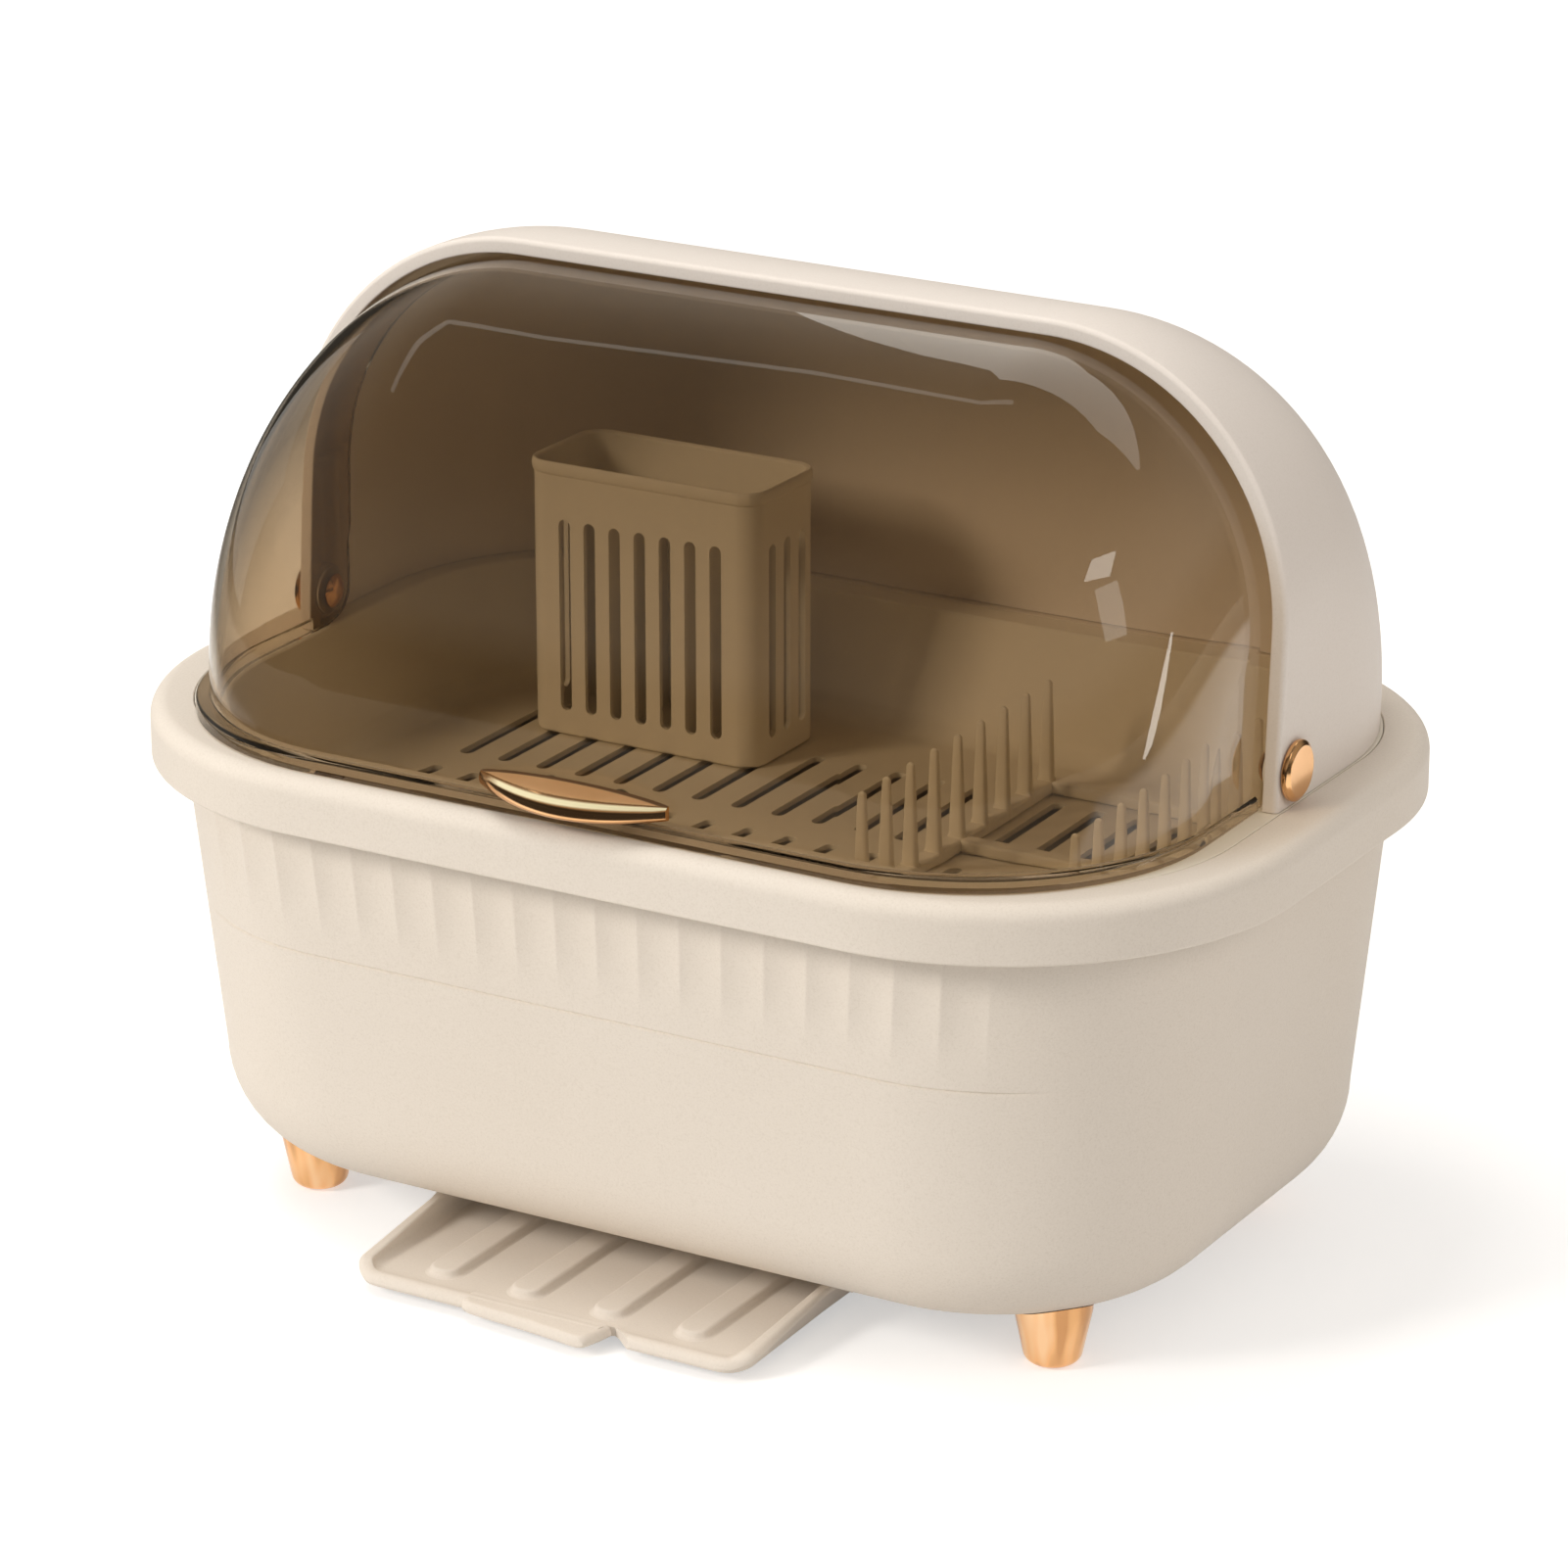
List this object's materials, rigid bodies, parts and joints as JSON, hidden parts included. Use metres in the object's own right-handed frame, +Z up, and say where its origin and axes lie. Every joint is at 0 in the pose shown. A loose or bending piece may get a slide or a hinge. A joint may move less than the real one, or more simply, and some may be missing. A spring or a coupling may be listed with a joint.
{
  "type": "covered dish rack",
  "caption": "Covered dish rack: tapered tub on tapered feet, drain basket, sliding drip tray, and a domed cover whose clear front half swings up inside its opaque rear half.",
  "frame": {"origin": "on the table, in the middle of the rack's bounding box", "axes": "+X to the right along the longest side, +Y to the back, +Z up"},
  "size_m": [0.45, 0.3204, 0.3526],
  "materials": {
    "cream_plastic": "fine-speckled matte",
    "hood_plastic": "fine-grained satin",
    "inner_plastic": "plain satin",
    "smoked_plastic": "clear brown tint, polished",
    "gold_plated_plastic": "rose gold plating, polished",
    "gold_metal": "polished",
    "zinc_steel": "zinc-plated"
  },
  "bodies": {
    "base": {"base_tub": "cream_plastic", "foot_front_left": "gold_plated_plastic", "foot_front_right": "gold_plated_plastic", "foot_rear_left": "gold_plated_plastic", "foot_rear_right": "gold_plated_plastic", "foot_screw_front_left": "zinc_steel", "foot_screw_front_right": "zinc_steel", "foot_screw_rear_left": "zinc_steel", "foot_screw_rear_right": "zinc_steel", "tray_rail_left": "cream_plastic", "tray_rail_right": "cream_plastic", "rail_screw_front_left": "zinc_steel", "rail_screw_front_right": "zinc_steel", "rail_screw_rear_left": "zinc_steel", "rail_screw_rear_right": "zinc_steel"},
    "tray": {"drip_tray": "cream_plastic"},
    "basket": {"drain_basket": "inner_plastic"},
    "plates": {"plate_rack": "inner_plastic"},
    "cage": {"cutlery_cage": "inner_plastic"},
    "cover": {"hood_shell": "hood_plastic", "hinge_pin_left": "gold_metal", "hinge_pin_right": "gold_metal", "hinge_washer_left": "inner_plastic", "hinge_washer_right": "inner_plastic", "hinge_cap_left": "gold_metal", "hinge_cap_right": "gold_metal"},
    "visor": {"visor": "smoked_plastic", "visor_handle": "gold_plated_plastic", "handle_screw_left": "zinc_steel", "handle_screw_right": "zinc_steel"}
  },
  "joints": [
    {"name": "cover_lift", "type": "slide", "parent": "base", "child": "cover", "axis": [0, 0, 1], "range_m": [0, 0.3]},
    {"name": "visor_hinge", "type": "hinge", "parent": "cover", "child": "visor", "pos_m": [0, -0.00025, 0.2049], "axis": [-1, 0, 0], "range_deg": [0, 85]},
    {"name": "basket_lift", "type": "slide", "parent": "base", "child": "basket", "axis": [0, 0, 1], "range_m": [0, 0.12]},
    {"name": "plate_rack_lift", "type": "slide", "parent": "basket", "child": "plates", "axis": [0, 0, 1], "range_m": [0, 0.04]},
    {"name": "cage_lift", "type": "slide", "parent": "basket", "child": "cage", "axis": [0, 0, 1], "range_m": [0, 0.03]},
    {"name": "tray_slide", "type": "slide", "parent": "base", "child": "tray", "axis": [0, -1, 0], "range_m": [-0.046, 0.11]}
  ],
  "couplings": [
    {"joint": "basket_lift", "follows": "cover_lift", "ratio": 0.4}
  ]
}
